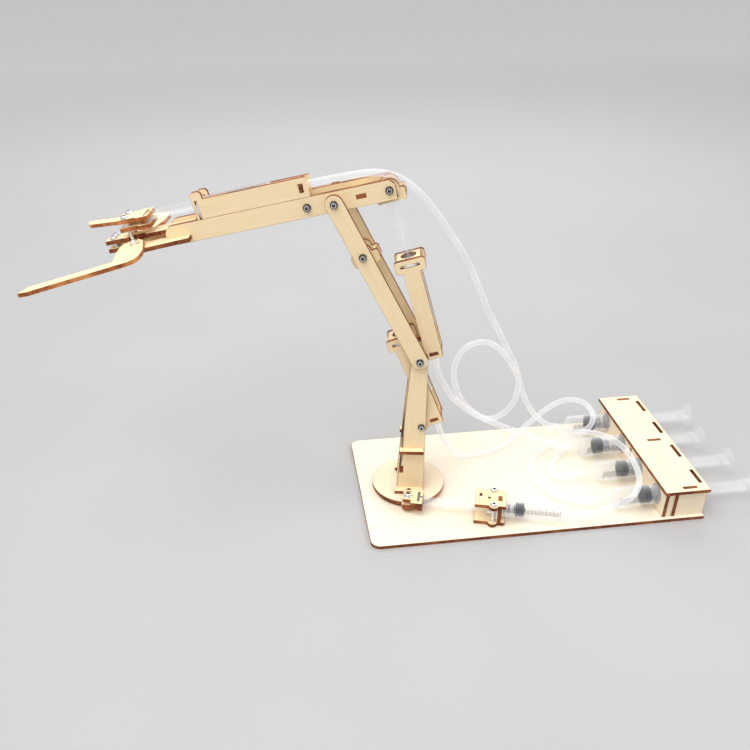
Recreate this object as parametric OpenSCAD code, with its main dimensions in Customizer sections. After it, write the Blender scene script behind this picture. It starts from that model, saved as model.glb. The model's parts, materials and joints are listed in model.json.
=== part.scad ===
/* [Base board] */
// Length of the base board
board_l = 280; // [270:1:300]
// Width of the base board
board_w = 150; // [150:1:180]
// Radius of the rounded left corners of the board
board_corner_r = 8; // [2:1:15]
// Thickness of every laser-cut sheet
ply = 3; // [2.9:0.05:3]

/* [Turntable and tower] */
// Distance from the board centre to the turntable centre
turn_offset = 98; // [96:1:100]
// Radius of the turning disc
turn_r = 31; // [28:0.5:31]
// Direction the arm faces, turned about the vertical
arm_yaw = -10; // [-12:0.5:-8]
// Distance of the crank pin from the turntable centre
crank_r = 33; // [32:0.5:34]
// Height of the shoulder bolt above the table
shoulder_z = 135.5; // [134:0.5:137]
// Width of the rounded top of the tower
tower_top_w = 13; // [12:0.5:13]

/* [Arm] */
// Lean of the upper arm from the horizontal
upper_angle = 117.2; // [116:0.1:118]
// Distance between the shoulder and elbow bolts
upper_arm_l = 138; // [134:1:142]
// Distance from the shoulder to the plunger bolt
plunger_pin = 95; // [94:0.5:96]
// Slope of the forearm, jaw end down
forearm_pitch = 12.6; // [11:0.1:14]
// Length of the forearm ahead of the elbow
forearm_front_l = 125; // [123:0.5:126]
// Half the depth of the forearm plates
forearm_half = 7.15; // [7:0.05:7.3]
// Distance of the rear forearm bolt behind the elbow
rear_pin = 39; // [38:0.5:40]

/* [Gripper] */
// Distance of the jaw bolts ahead of the elbow
jaw_f = 147; // [146:0.5:148]
// Distance of each jaw bolt from the middle line
jaw_l = 16; // [15.5:0.1:16.5]
// Travel of the jaw slider
grip_stroke = 8.9; // [8:0.1:9]

/* [Syringes] */
// Outer radius of the small barrels
slave_r = 6.75; // [6.6:0.05:6.75]
// Bore radius of the small barrels
slave_bore = 6.1; // [6:0.05:6.1]
// Outer radius of the large barrels
master_r = 8.25; // [8.1:0.05:8.25]
// Bore radius of the large barrels
master_bore = 7.5; // [7.3:0.05:7.5]
// Spacing of the large syringes in the control box
master_pitch = 37; // [36:0.5:37]
// Outer diameter of the soft tubes
tube_d = 5; // [4:0.1:5]

/* [Hidden] */
eps = 0.01;
wood = [0.88, 0.79, 0.62];
steel = [0.72, 0.73, 0.75];
rubber = [0.12, 0.12, 0.13];
clear = [0.86, 0.89, 0.9, 0.6];
soft = [0.9, 0.9, 0.87];

// fasteners
bolt_r = 1.5;
bolt_hole = 1.55;
turn_hole = 1.58;
head_r = 2.8;
head_h = 2.2;
nut_r = 3.1;
washer_r = 3.5;

// sheet layers across the arm, measured from its middle plane
clevis_in = 3.8;
clevis_out = clevis_in + ply;
inner_in = 7;
inner_out = inner_in + ply;
tower_in = 10.3;
tower_out = tower_in + ply;
outer_in = 13.6;
outer_out = outer_in + ply;

// base levels
deck = ply;
disc_top = deck + ply;
turn_bottom = disc_top + 0.1;
turn_top = turn_bottom + ply;
turn_x = -turn_offset;
tower_r = tower_top_w / 2;

// arm plane: s runs away from the jaws, z is up
shoulder_s = 6.5;
tower_pin_s = 9.5;
tower_pin_z = 73.5;
elbow_s = shoulder_s + upper_arm_l * cos(upper_angle);
elbow_z = shoulder_z + upper_arm_l * sin(upper_angle);

// syringe holders
holder_offset = 11.5;
lower_dx = shoulder_s + plunger_pin * cos(upper_angle) - tower_pin_s;
lower_dz = shoulder_z + plunger_pin * sin(upper_angle) - tower_pin_z;
upper_dx = elbow_s + rear_pin * cos(forearm_pitch) - shoulder_s;
upper_dz = elbow_z + rear_pin * sin(forearm_pitch) - shoulder_z;
lower_angle = holder_angle(lower_dx, lower_dz);
upper_holder_angle = holder_angle(upper_dx, upper_dz);
lower_reach = holder_reach(lower_dx, lower_dz);
upper_reach = holder_reach(upper_dx, upper_dz);
holder_half = 6.5;
head_half = 11.5;
head_from = 70.5;
head_to = 80.5;
flange_t = 1.8;
barrel_mouth = 76.8;
barrel_shoulder = 21;
barrel_tip = 11.8;
plunger_l = 89;
thumb_gap = 5;
turn_thumb_gap = 8;
thumb_t = 1.8;
piston_l = 8;

// turning syringe
swivel_x = -38;
swivel_y = -51.6;
swivel_z = 13.5;
crank_x = turn_x + crank_r * cos(arm_yaw - 90);
crank_y = crank_r * sin(arm_yaw - 90);
turn_angle = atan2(crank_y - swivel_y, crank_x - swivel_x);
turn_reach = norm([crank_x - swivel_x, crank_y - swivel_y]);
turn_gap = 1.3;

// control box
box_front_x = 104;
box_inner_x = 112;
box_back_x = 137;
box_end_x = 140;
box_half = 71.5;
rib_y = 69.5;
box_top = 27.5;
lid_half = 74.5;
master_z = 15.5;
master_tip = 54.7;
master_shoulder = 64.7;
master_y = [for (i = [0:3]) master_pitch * (1.5 - i)];
piston_x = [85.8, 79.5, 88.1, 92.9];
master_l = 100;

// forearm and gripper, f ahead of the elbow, n above the middle line
grip_n = 13.5;
drive_f = jaw_f + grip_stroke / 2;
drive_l = 5.5;
palm_low = -4.5;
palm_high = 1.6;
jaw_low = -1.4;
jaw_t = 2.9;
rest_turn = 23;
far_drop = 3.2;

// tubes
tube_r = tube_d / 2;
tube_sides = 10;

// distance and direction of a syringe that leans from its pivot to its bolt
function holder_angle(dx, dz) = atan2(dz, dx) + asin(holder_offset / norm([dx, dz]));
function holder_reach(dx, dz) = sqrt(dx * dx + dz * dz - holder_offset * holder_offset);

// points of the arm in the frame of the board
function arm_point(s, z) = [turn_x + s * cos(arm_yaw), s * sin(arm_yaw), z];
function holder_point(s, z, angle, x) =
    arm_point(s + x * cos(angle) + holder_offset * sin(angle), z + x * sin(angle) - holder_offset * cos(angle));
function forearm_point(f, n) =
    arm_point(elbow_s - f * cos(forearm_pitch) - n * sin(forearm_pitch),
              elbow_z - f * sin(forearm_pitch) + n * cos(forearm_pitch));
function turn_point(x) = [swivel_x + x * cos(turn_angle), swivel_y + x * sin(turn_angle), swivel_z];
function lower_point(x) = holder_point(tower_pin_s, tower_pin_z, lower_angle, x);
function upper_point(x) = holder_point(shoulder_s, shoulder_z, upper_holder_angle, x);

gripper_route = [
    forearm_point(32.5, grip_n), forearm_point(16, grip_n), [-148, 9, 273], [-128, 5, 276], [-115, 2, 274.5],
    [-103, 1, 268.5], [-88, 3, 254], [-70, 8, 229], [-52, 14, 200], [-34, 20, 161], [-21, 26, 137],
    [-9, 31, 114], [2, 35, 92], [6, 38, 74], [4, 40, 56], [-5, 40, 44], [-18, 40, 40], [-32, 40, 48],
    [-45, 40, 64], [-52, 40, 84], [-51, 41, 101], [-42, 43, 113], [-29, 45, 116], [-16, 47, 111],
    [-3, 49, 97], [9, 51, 76], [18, 53, 53], [30, 55, 32], [43, 55.5, 19], [50, 55.5, 15.5],
    [master_tip, master_y[0], master_z]];
upper_route = [
    upper_point(barrel_tip), upper_point(-4), [-77, 1, 120], [-70, 7, 102], [-59, 14, 82], [-46, 19, 67],
    [-32, 20, 56], [-16, 20, 47], [2, 19.5, 38], [20, 19, 30], [36, 18.5, 21], [48, 18.5, 15.5],
    [master_tip, master_y[1], master_z]];
lower_route = [
    lower_point(barrel_tip), lower_point(-4), [-73, 0, 62], [-66, 8, 44], [-56, 20, 24], [-45, 30, 10],
    [-30, 33, 5.6], [-12, 37, 5.6], [4, 47, 6], [17, 57, 9], [33, 63, 19], [50, 67, 30], [66, 66, 37],
    [79, 57, 38], [83, 44, 34], [78, 33, 29], [66, 27, 24], [55, 27, 15], [45, 20, 7], [36, 8, 5.6],
    [32, -7, 5.6], [38, -16, 10], [47, -18.5, 15.5], [master_tip, master_y[2], master_z]];
turn_route = [
    turn_point(-69), turn_point(-74), [48, -71.5, 16], [62, -72, 21], [76, -69, 27], [86, -56, 31],
    [91, -36, 32], [91, -14, 33], [84, 3, 34], [73, 12, 34], [60, 21, 31], [47, 30, 20], [35, 32, 8],
    [23, 22, 5.6], [15, 4, 5.6], [15, -15, 5.6], [22, -32, 6], [33, -46, 9], [44, -54, 13.5],
    [50, -55.5, 15.5], [master_tip, master_y[3], master_z]];

/* ---- frames ---- */

// arm frame: x away from the jaws, y to the far side, z up, origin under the turntable centre
module arm_frame() translate([turn_x, 0, 0]) rotate([0, 0, arm_yaw]) children();

module upper_arm_frame()
    arm_frame() translate([shoulder_s, 0, shoulder_z]) rotate([0, -upper_angle, 0]) children();

// forearm frame: x toward the jaws, y to the near side, z away from the board
module forearm_frame()
    arm_frame() translate([elbow_s, 0, elbow_z]) rotate([0, -forearm_pitch, 0]) rotate([0, 0, 180]) children();

module lower_frame()
    arm_frame() translate([tower_pin_s, 0, tower_pin_z]) rotate([0, -lower_angle, 0]) children();

module upper_frame()
    arm_frame() translate([shoulder_s, 0, shoulder_z]) rotate([0, -upper_holder_angle, 0]) children();

// turning syringe frame: origin on the swivel screw at the height of the barrel, x toward the crank
module turn_frame() translate([swivel_x, swivel_y, swivel_z]) rotate([0, 0, turn_angle]) children();

module master_frame(i) translate([0, master_y[i], master_z]) children();

/* ---- sheet and fastener helpers ---- */

// sheet standing in the x-z plane between y and y + t
module wall(y, t = ply) translate([0, y + t, 0]) rotate([90, 0, 0]) linear_extrude(t) children();

// matching sheets on both sides of the middle plane
module wall_pair(inner, t = ply) {
    wall(inner, t) children();
    wall(-inner - t, t) children();
}

// sheet lying flat
module sheet(z, t = ply) translate([0, 0, z]) linear_extrude(t) children();

module hole(x, y, r = bolt_hole) translate([x, y]) circle(r = r, $fn = 32);

module box_slot(x0, x1, y0, y1) translate([x0, y0]) square([x1 - x0, y1 - y0]);

// box with rounded corners
module rounded_box(x0, x1, y0, y1, r) {
    box_slot(x0 + r, x1 - r, y0, y1);
    box_slot(x0, x1, y0 + r, y1 - r);
    for (x = [x0 + r, x1 - r], y = [y0 + r, y1 - r]) hole(x, y, r);
}

// block given by its two corners
module block(a, b) translate(a) cube(b - a);

// bolt across the arm with a head on one side and a nut on the other
module cross_bolt(reach, near = -1) {
    rotate([90, 0, 0]) cylinder(r = bolt_r, h = 2 * (reach + head_h), center = true, $fn = 32);
    translate([0, near * (reach + head_h / 2), 0])
        rotate([90, 0, 0]) cylinder(r = head_r, h = head_h, center = true, $fn = 32);
    translate([0, -near * (reach + head_h / 2), 0])
        rotate([90, 0, 0]) cylinder(r = nut_r, h = head_h, center = true, $fn = 6);
}

// ring around a bolt across the arm
module cross_washer(y0, y1, r = washer_r) {
    for (side = [-1, 1])
        translate([0, side * (y0 + y1) / 2, 0]) rotate([90, 0, 0]) difference() {
            cylinder(r = r, h = y1 - y0, center = true, $fn = 32);
            cylinder(r = bolt_r, h = y1 - y0 + 1, center = true, $fn = 32);
        }
}

// upright screw with its head on top
module upright_screw(bottom, top) {
    translate([0, 0, bottom]) cylinder(r = bolt_r, h = top - bottom, $fn = 32);
    translate([0, 0, top]) cylinder(r = head_r, h = head_h, $fn = 32);
}

/* ---- syringes, all drawn along x ---- */

module rod_x(x0, x1, r, sides = 48)
    translate([x0, 0, 0]) rotate([0, 90, 0]) cylinder(r = r, h = x1 - x0, $fn = sides);

// clear barrel: nozzle tip, shoulder, mouth and a flange cut flat on two sides
module barrel(tip, shoulder, mouth, flange_t, r, bore, flange_r, flat_y, flat_z, nozzle_r = 2.1) {
    difference() {
        union() {
            rod_x(shoulder, mouth, r);
            rod_x(tip, shoulder + 0.5, nozzle_r, 32);
            intersection() {
                rod_x(mouth - flange_t, mouth, flange_r);
                block([mouth - flange_t - 1, -flat_y, -flat_z], [mouth + 1, flat_y, flat_z]);
            }
        }
        rod_x(shoulder + 1.2, mouth + 1, bore);
        rod_x(tip - 1, shoulder + 2, 1, 32);
    }
}

// rubber piston with two sealing rings
module piston(front, length, seal_r) {
    ring = length * 0.28;
    rod_x(front, front + ring, seal_r);
    rod_x(front + length - ring, front + length, seal_r);
    rod_x(front + ring - eps, front + length - ring + eps, seal_r - 0.7);
    rod_x(front + length - eps, front + length + 1.5, 2, 32);
}

// ribbed rod behind a piston, from its collar to the thumb rest
module plunger(from, to, half, thin_from, thin_half, thumb_r, thumb_half_y, thumb_half_z) {
    rib = 1.4;
    difference() {
        union() {
            rod_x(from, from + 1.5, half);
            rod_x(from + 5, from + 6.2, half);
            block([from, -rib / 2, -half], [to, rib / 2, half]);
            block([from, -half, -rib / 2], [thin_from, half, rib / 2]);
            block([thin_from - eps, -thin_half, -rib / 2], [to, thin_half, rib / 2]);
            rod_x(thin_from - 2, thin_from - 0.8, half);
            intersection() {
                rod_x(to - thumb_t, to, thumb_r);
                block([to - thumb_t - 1, -thumb_half_y, -thumb_half_z], [to + 1, thumb_half_y, thumb_half_z]);
            }
        }
        rod_x(from - 1, from + 1.6, 2.05, 32);
    }
}

/* ---- base and turntable ---- */

module base_board() color(wood) difference() {
    linear_extrude(ply) difference() {
        union() {
            translate([-board_l / 2 + board_corner_r, -board_w / 2])
                square([board_l - board_corner_r, board_w]);
            translate([-board_l / 2, -board_w / 2 + board_corner_r])
                square([board_corner_r + 1, board_w - 2 * board_corner_r]);
            for (side = [-1, 1])
                hole(-board_l / 2 + board_corner_r, side * (board_w / 2 - board_corner_r), board_corner_r);
        }
        hole(turn_x, 0, turn_hole);
        hole(swivel_x, swivel_y, turn_hole);
    }
    for (p = [[turn_x, 0], [swivel_x, swivel_y]])
        translate([p[0], p[1], -1]) cylinder(r = 3.3, h = 3, $fn = 32);
}

module fixed_disc() color(wood) sheet(deck) difference() {
    hole(turn_x, 0, turn_r - 2);
    hole(turn_x, 0, turn_hole);
}

module turntable_disc() color(wood) arm_frame() sheet(turn_bottom) difference() {
    union() {
        circle(r = turn_r, $fn = 96);
        hole(0, -crank_r, 5.5);
    }
    hole(0, 0);
    hole(0, -crank_r);
    hole(0.5, -19.8);
    hole(0.5, 19.8);
}

module tower_outline() difference() {
    union() {
        polygon([[-10, turn_top], [13, turn_top], [13, shoulder_z], [0, shoulder_z]]);
        hole(shoulder_s, shoulder_z, tower_r);
    }
    hole(shoulder_s, shoulder_z);
    hole(tower_pin_s, tower_pin_z);
    box_slot(-2, 7, 50, 50 + ply);
    box_slot(-5, 6, turn_top - 1, turn_top + ply);
    box_slot(-7.5, -4.5, 27, 34);
}

module tower_front_plate() color(wood) arm_frame() wall(-tower_out) tower_outline();

module tower_rear_plate() color(wood) arm_frame() wall(tower_in) tower_outline();

module tower_cross_plates() color(wood) arm_frame() {
    sheet(50) {
        box_slot(-5.5, 12, -tower_in, tower_in);
        box_slot(-2, 7, -tower_out, tower_out);
        for (side = [-1, 1]) box_slot(-8, 12, side > 0 ? tower_out : -19.5, side > 0 ? 19.5 : -tower_out);
    }
    sheet(turn_top) difference() {
        union() {
            box_slot(-9, 12.5, -tower_in, tower_in);
            box_slot(-5, 6, -tower_out, tower_out);
            for (side = [-1, 1]) {
                box_slot(-11.5, 12.5, side > 0 ? tower_out : -19.8, side > 0 ? 19.8 : -tower_out);
                hole(0.5, side * 19.8, 4.5);
            }
        }
        hole(0, 0);
        for (side = [-1, 1]) hole(0.5, side * 19.8);
    }
    wall(-tower_in, 2 * tower_in) polygon([[-9.1, 14], [-6.1, 14], [-3.4, 48], [-6.4, 48]]);
    wall(-tower_out, 2 * tower_out) box_slot(-7.4, -4.6, 27.1, 33.9);
}

module tower_bolts() color(steel) {
    arm_frame() {
        translate([0, 0, 0.2]) cylinder(r = 3, h = 1.6, $fn = 32);
        translate([0, 0, 0.2]) cylinder(r = bolt_r, h = turn_top + ply + 3.5, $fn = 32);
        translate([0, 0, turn_top + ply]) cylinder(r = nut_r, h = head_h, $fn = 6);
        for (side = [-1, 1]) translate([0.5, side * 19.8, 0]) upright_screw(turn_bottom, turn_top + ply);
        translate([shoulder_s, 0, shoulder_z]) cross_bolt(outer_out + 0.6);
        translate([shoulder_s, 0, shoulder_z]) cross_washer(outer_out + 0.06, outer_out + 0.6);
        translate([tower_pin_s, 0, tower_pin_z]) cross_bolt(tower_out);
        translate([0, -crank_r, 0]) {
            translate([0, 0, turn_bottom - 2]) cylinder(r = head_r, h = 2, $fn = 32);
            upright_screw(turn_bottom - 1, swivel_z + turn_gap + ply + 0.6);
            translate([0, 0, swivel_z + turn_gap + ply + 0.06]) cylinder(r = washer_r, h = 0.54, $fn = 32);
        }
    }
}

/* ---- turning syringe ---- */

bracket_y = 10.3;
bracket_low = 3.6;
bracket_high = 20.4;
screw_x = -2.2;
screw_y = 9.7;

module bracket_outline(far) difference() {
    union() {
        box_slot(-12, 13, -bracket_y, bracket_y);
        for (side = [-1, 1]) hole(screw_x, side * screw_y, 4);
    }
    for (side = [-1, 1]) hole(screw_x, side * screw_y);
    if (far) {
        box_slot(-9.1, -5.9, -3.1, 3.1);
        hole(1.5, 0, 1.2);
        box_slot(7.5, 9.5, -5, 5);
    } else {
        hole(0, 0);
    }
}

module swivel_plates() color(wood) turn_frame() translate([0, 0, -swivel_z]) {
    sheet(bracket_low) bracket_outline(false);
    sheet(bracket_high) bracket_outline(true);
    difference() {
        union() {
            block([-9, -bracket_y, bracket_low + ply], [-6, bracket_y, bracket_high]);
            block([-9, -3, bracket_low + ply], [-6, 3, bracket_high + ply]);
        }
        translate([0, 0, swivel_z]) rod_x(-10, -5, slave_r + 0.1);
    }
}

module swivel_screws() color(steel) turn_frame() translate([0, 0, -swivel_z]) {
    translate([0, 0, 0.2]) cylinder(r = 3, h = 1.6, $fn = 32);
    translate([0, 0, 0.2]) cylinder(r = bolt_r, h = 7.7, $fn = 32);
    translate([0, 0, bracket_low + ply]) cylinder(r = head_r, h = 1.3, $fn = 32);
    translate([0, 0, deck + 0.05]) difference() {
        cylinder(r = washer_r, h = bracket_low - deck - 0.05, $fn = 32);
        translate([0, 0, -1]) cylinder(r = bolt_r, h = 3, $fn = 32);
    }
    for (side = [-1, 1]) translate([screw_x, side * screw_y, 0]) {
        upright_screw(bracket_low - 0.3, bracket_high + ply);
        translate([0, 0, bracket_low + ply]) cylinder(r = 2.25, h = 1.6, $fn = 6);
    }
}

module turn_barrel() color(clear) turn_frame() {
    barrel(-69, -60, -4.5, 1.5, slave_r, slave_bore, 10.5, 10.5, 6.7);
}

module turn_piston() color(rubber) turn_frame()
    piston(turn_reach - turn_thumb_gap - plunger_l, piston_l, slave_bore - 0.06);

module turn_plunger() color(clear) turn_frame() plunger(
    turn_reach - turn_thumb_gap - plunger_l + piston_l, turn_reach - turn_thumb_gap, 4.9,
    turn_reach - 16, 4.9, 7.5, 7.5, 4.2);

// two plates joined by side bars, which clasp the thumb rest; the upper one is wider behind the bolt
module crank_clevis() color(wood) turn_frame() translate([turn_reach, 0, 0]) difference() {
    union() {
        sheet(-turn_gap - ply) {
            box_slot(-12.5, 4, -7.8, 5.2);
            box_slot(-12.5, -5, -6.8, 8);
        }
        sheet(turn_gap) {
            rounded_box(-12.5, 4, -7.8, 5.2, 1);
            rounded_box(-12.5, -2.6, -9.5, 9.5, 1);
        }
        for (side = [-1, 1]) block([-12.5, side * 6.7 - 1.3, -turn_gap], [-5, side * 6.7 + 1.3, turn_gap]);
    }
    block([-1.75, -5.9, -5], [2.1, 1.7, 5]);
    block([-13, -0.8, -5], [-turn_thumb_gap, 0.8, 5]);
    rod_x(-turn_thumb_gap - thumb_t, -turn_thumb_gap, 7.5);
}

/* ---- control box and large syringes ---- */

module box_front_wall() color(wood) difference() {
    block([box_front_x, -box_half, deck], [box_front_x + ply, box_half, box_top]);
    for (i = [0:3]) master_frame(i) rod_x(box_front_x - 1, box_front_x + ply + 1, master_r + 0.1);
    block([box_front_x - 1, -1.5, 15], [box_front_x + 4, 1.5, 23]);
}

module box_inner_wall() color(wood) difference() {
    block([box_inner_x, -box_half, deck], [box_inner_x + ply, box_half, box_top]);
    for (i = [0:3]) master_frame(i) rod_x(box_inner_x - 1, box_inner_x + ply + 1, master_r + 0.1);
    block([box_inner_x - 1, -1.5, 12], [box_inner_x + 4, 1.5, box_top + 1]);
}

module box_back_wall() color(wood) difference() {
    block([box_back_x, -rib_y + 1.5, deck], [box_end_x, rib_y - 1.5, box_top]);
    for (i = [0:3]) master_frame(i) rod_x(box_back_x - 1, box_end_x + 1, 8);
}

module box_ribs() color(wood) {
    for (y = [-rib_y, rib_y]) {
        block([box_front_x + ply, y - 1.5, deck], [box_inner_x, y + 1.5, box_top]);
        block([box_inner_x + ply, y - 1.5, deck], [box_end_x, y + 1.5, box_top]);
        block([118, y - 1.5, box_top], [130, y + 1.5, box_top + ply]);
    }
    difference() {
        union() {
            block([box_front_x + ply, -1.5, deck], [box_back_x, 1.5, box_top]);
            block([118, -1.5, box_top], [130, 1.5, box_top + ply]);
            block([box_front_x, -1.5, 15], [box_front_x + ply, 1.5, 23]);
        }
        block([box_inner_x, -2, deck - 1], [box_inner_x + ply, 2, 12]);
    }
}

module box_top_plate() color(wood) sheet(box_top) difference() {
    translate([101.6, -lid_half]) square([box_end_x - 101.6, 2 * lid_half]);
    for (y = [-rib_y, 0, rib_y]) box_slot(118, 130, y - 1.5, y + 1.5);
    for (y = master_y) box_slot(134.2, 137.2, y - 9, y + 9);
}

module master_barrels() color(clear) for (i = [0:3]) master_frame(i)
    barrel(master_tip, master_shoulder, box_back_x, 1.8, master_r, master_bore, 12.3, 8.8, 12.3);

module master_piston(i) color(rubber) master_frame(i)
    piston(piston_x[i] - piston_l / 2, piston_l, master_bore - 0.06);

module master_plunger(i) color(clear) master_frame(i) plunger(
    piston_x[i] + piston_l / 2, piston_x[i] + master_l, 6.4,
    piston_x[i] + master_l - 8, 6.4, 10.5, 10.5, 10.5);

/* ---- upper arm ---- */

module upper_arm_outline() difference() {
    union() {
        box_slot(0, upper_arm_l, -6.5, 6.5);
        hole(0, 0, 6.5);
        hole(upper_arm_l, 0, 6.5);
    }
    hole(0, 0, turn_hole);
    hole(plunger_pin, 0);
    hole(upper_arm_l, 0);
}

module upper_arm_front() color(wood) upper_arm_frame() wall(-outer_out) upper_arm_outline();

module upper_arm_rear() color(wood) upper_arm_frame() wall(outer_in) upper_arm_outline();

module upper_arm_bolts() color(steel) upper_arm_frame() {
    translate([plunger_pin, 0, 0]) cross_bolt(outer_out);
    translate([upper_arm_l, 0, 0]) {
        cross_bolt(outer_out);
        cross_washer(inner_out + 0.06, outer_in);
    }
}

/* ---- forearm ---- */

cross_f = -19;

module forearm_outline() {
    top_r = 6.5;
    low_r = 3;
    low_front = forearm_front_l - 4.5;
    difference() {
        union() {
            polygon([
                [-43.5, -forearm_half], [low_front - low_r, -forearm_half],
                [low_front - low_r, -forearm_half + low_r], [low_front, -forearm_half + low_r],
                [forearm_front_l, forearm_half - top_r], [forearm_front_l - top_r, forearm_half - top_r],
                [forearm_front_l - top_r, forearm_half], [-40, forearm_half], [-43.5, forearm_half - 3.5]]);
            hole(forearm_front_l - top_r, forearm_half - top_r, top_r);
            hole(low_front - low_r, -forearm_half + low_r, low_r);
        }
        hole(0, 0, turn_hole);
        hole(20, 0);
        hole(-rear_pin, 0);
        box_slot(cross_f - 3.5, cross_f + 3.5, -1.5, 1.5);
        box_slot(107, forearm_front_l + 1, palm_low, palm_low + ply);
    }
}

module forearm_front() color(wood) forearm_frame() wall(inner_in) forearm_outline();

module forearm_rear() color(wood) forearm_frame() wall(-inner_out) forearm_outline();

module forearm_cross_plate() color(wood) forearm_frame() sheet(-1.5) {
    box_slot(cross_f - 6, cross_f + 6, -inner_in, inner_in);
    box_slot(cross_f - 3.5, cross_f + 3.5, -inner_out, inner_out);
}

module gripper_side_outline(drop) {
    top = forearm_half + 14 - drop;
    hump = forearm_half + 19.6 - drop;
    difference() {
        union() {
            box_slot(16, 98.5, forearm_half, top);
            box_slot(90.5, 98.5, forearm_half, hump - 2.8);
            box_slot(93.3, 95.7, forearm_half, hump);
            for (f = [93.3, 95.7]) hole(f, hump - 2.8, 2.8);
        }
        box_slot(18.9, 22.1, 10.9, 17.1);
        box_slot(94.95, 96.55, forearm_half - 1, grip_n + 7.2);
    }
}

module gripper_box() color(wood) forearm_frame() {
    wall(inner_in) gripper_side_outline(0);
    wall(-inner_out) gripper_side_outline(far_drop);
    difference() {
        union() {
            block([19, -inner_in, forearm_half], [22, inner_in, 18]);
            block([19, -inner_out, 11], [22, inner_out, 17]);
        }
        translate([0, 0, grip_n]) rod_x(18, 23, tube_r + 0.3, 32);
    }
    difference() {
        block([91.9, -inner_in, forearm_half], [94.9, inner_in, 19]);
        translate([0, 0, grip_n]) rod_x(91, 96, slave_r + 0.1);
    }
}

module gripper_barrel() color(clear) forearm_frame() translate([0, 0, grip_n])
    barrel(32.5, 41.5, 96.5, 1.5, slave_r, slave_bore, 10.5, 10.5, 6.3);

module palm_plates() color(wood) forearm_frame() {
    sheet(palm_low) difference() {
        union() {
            polygon([[107, -17.5], [147, -20], [147, 20], [107, 17.5]]);
            for (side = [-1, 1]) {
                box_slot(147, 152, side > 0 ? 10 : -15, side > 0 ? 15 : -10);
                hole(147, side * 15, 5);
            }
            box_slot(147, 172, -10, 10);
        }
        for (side = [-1, 1]) {
            box_slot(158, 173, side > 0 ? 6 : -11, side > 0 ? 11 : -6);
            hole(jaw_f, side * jaw_l);
            hole(166, side * 3);
        }
    }
    sheet(palm_high) difference() {
        union() {
            box_slot(104, 158, -inner_in, inner_in);
            box_slot(104, 172, -6, 6);
        }
        for (side = [-1, 1]) {
            hole(166, side * 3);
            box_slot(drive_f - grip_stroke - 1.9, drive_f + 1.9, side * drive_l - 1.9, side * drive_l + 1.9);
        }
    }
}

module forearm_bolts() color(steel) forearm_frame() {
    for (f = [20, -rear_pin]) translate([f, 0, 0]) cross_bolt(inner_out, 1);
    for (side = [-1, 1]) {
        translate([jaw_f, side * jaw_l, 0]) {
            translate([0, 0, palm_low - head_h]) cylinder(r = head_r, h = head_h, $fn = 32);
            translate([0, 0, palm_low - 1]) cylinder(r = bolt_r, h = 10.5, $fn = 32);
            translate([0, 0, 1.56]) cylinder(r = washer_r, h = 0.6, $fn = 32);
            translate([0, 0, 2.16]) cylinder(r = nut_r, h = 2.4, $fn = 6);
        }
        translate([166, side * 3, 0]) upright_screw(palm_low, palm_high + ply);
    }
}

module gripper_piston() color(rubber) forearm_frame() translate([0, 0, grip_n])
    piston(53, piston_l, slave_bore - 0.06);

module gripper_plunger() color(clear) forearm_frame() translate([0, 0, grip_n]) plunger(
    53 + piston_l, 137, 4.9, 129, 4.9, 7.5, 7.5, 2.9);

module crosshead() color(wood) forearm_frame() {
    for (n = [9, 15]) sheet(n) difference() {
        union() {
            box_slot(133, 157, -8, 8);
            rounded_box(133, 143.5, -10.5, 10.5, 3);
        }
        for (side = [-1, 1]) hole(drive_f, side * drive_l);
        box_slot(137 - thumb_t, 137, -7.6, 7.6);
        box_slot(130, 137, -0.8, 0.8);
    }
    block([137, -8, 12], [140, 8, 15]);
}

module drive_screws() color(steel) forearm_frame() for (side = [-1, 1])
    translate([drive_f, side * drive_l, 0]) {
        upright_screw(-1.2, 18);
        translate([0, 0, 12]) cylinder(r = 2.6, h = 3, $fn = 32);
    }

// jaw drawn about its bolt, closing toward negative y, slot in the inward lever
module jaw_outline() {
    lever = [sin(rest_turn), -cos(rest_turn)];
    across = [cos(rest_turn), sin(rest_turn)];
    difference() {
        union() {
            polygon([
                [11, -6.5], [11.5, 4], [8, 30], [63.5, 45.5], [68, 55], [61.5, 55.5], [-4, 36.5],
                [-9, 33], [-11, 27], [-10.5, 15], [-4.5, -6.5],
                lever * 10 - across * 4.4, lever * 10 + across * 4.4]);
            translate(lever * 10) circle(r = 4.4, $fn = 32);
        }
        hole(0, 0, turn_hole);
        polygon([
            lever * 8.7 - across * 1.66, lever * 13.3 - across * 1.66,
            lever * 13.3 + across * 1.66, lever * 8.7 + across * 1.66]);
    }
}

module jaw_near() color(wood) forearm_frame() translate([jaw_f, jaw_l, jaw_low])
    linear_extrude(jaw_t) jaw_outline();

module jaw_far() color(wood) forearm_frame() translate([jaw_f, -jaw_l, jaw_low])
    linear_extrude(jaw_t) mirror([0, 1]) jaw_outline();

/* ---- syringe holders on the tower and the upper arm ---- */

module holder_outline(relief) difference() {
    union() {
        box_slot(-3, head_from + 1, -holder_offset - holder_half, -holder_offset + holder_half);
        hole(0, 0, 6.2);
        rounded_box(head_from, head_to, -holder_offset - head_half, -holder_offset + head_half, 2.5);
    }
    hole(0, 0, turn_hole);
    box_slot(-0.5, 2.5, -holder_offset - 3.5, -holder_offset + 3.5);
    box_slot(barrel_mouth - flange_t - 0.05, barrel_mouth + 0.05, -holder_offset - 7.2, -holder_offset + 7.2);
    if (relief) hole(relief_x, relief_z, 6.6);
}

// shoulder bolt seen from the lower holder
relief_x = (shoulder_s - tower_pin_s) * cos(lower_angle) + (shoulder_z - tower_pin_z) * sin(lower_angle);
relief_z = (tower_pin_s - shoulder_s) * sin(lower_angle) + (shoulder_z - tower_pin_z) * cos(lower_angle);

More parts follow.
